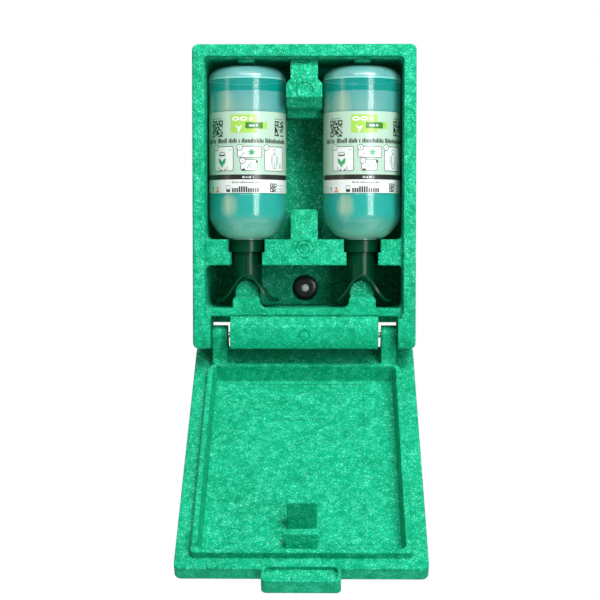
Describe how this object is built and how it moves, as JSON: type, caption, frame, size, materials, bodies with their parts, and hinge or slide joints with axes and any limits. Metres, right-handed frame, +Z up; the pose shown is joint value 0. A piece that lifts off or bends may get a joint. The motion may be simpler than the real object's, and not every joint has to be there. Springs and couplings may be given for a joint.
{
  "type": "wall-mounted eyewash station",
  "caption": "Foam wall case with a drop-down lid, holding eyewash bottles upside down, each closed by a twin eyecup it twists open on.",
  "frame": {"origin": "midway between the two wall screws, on the wall plane that the case's back lies on", "axes": "+X to the right seen from the front, +Y into the wall, +Z up"},
  "size_m": [0.25, 0.3775, 0.5592],
  "materials": {
    "foam": "moulded bead foam, mint flecks",
    "bottle_plastic": "translucent, frosted",
    "solution": "clear liquid",
    "label_film": "satin printed film",
    "eyecup_plastic": "dark green, glossy",
    "nozzle_plastic": "white, satin",
    "seal_rubber": "matt black",
    "washer_rubber": "black, satin",
    "screw_steel": "zinc plated",
    "pin_steel": "bright",
    "sign_film": "satin printed film"
  },
  "bodies": {
    "case": {"case": "foam", "hinge_pin_left": "pin_steel", "hinge_pin_right": "pin_steel", "wall_screw_lower": "screw_steel", "wall_screw_upper": "screw_steel", "screw_washer": "washer_rubber"},
    "lid": {"lid": "foam", "lid_sign": "sign_film"},
    "eyecup_left": {"eyecup_left": "eyecup_plastic", "seal_ring_left": "seal_rubber"},
    "bottle_left": {"bottle_left": "bottle_plastic", "saline_left": "solution", "label_left": "label_film", "nozzle_left": "nozzle_plastic"},
    "eyecup_right": {"eyecup_right": "eyecup_plastic", "seal_ring_right": "seal_rubber"},
    "bottle_right": {"bottle_right": "bottle_plastic", "saline_right": "solution", "label_right": "label_film", "nozzle_right": "nozzle_plastic"}
  },
  "joints": [
    {"name": "lid_hinge", "type": "hinge", "parent": "case", "child": "lid", "pos_m": [0, -0.0835, -0.166], "axis": [1, 0, 0], "range_deg": [-125, 0]},
    {"name": "pull_out_left", "type": "slide", "parent": "case", "child": "eyecup_left", "axis": [0, -1, 0], "range_m": [0, 0.2]},
    {"name": "twist_open_left", "type": "hinge", "parent": "eyecup_left", "child": "bottle_left", "pos_m": [-0.0654, -0.068, -0.065], "axis": [0, 0, 1], "range_deg": [0, 90]},
    {"name": "pull_out_right", "type": "slide", "parent": "case", "child": "eyecup_right", "axis": [0, -1, 0], "range_m": [0, 0.2]},
    {"name": "twist_open_right", "type": "hinge", "parent": "eyecup_right", "child": "bottle_right", "pos_m": [0.0654, -0.068, -0.065], "axis": [0, 0, 1], "range_deg": [0, 90]}
  ]
}
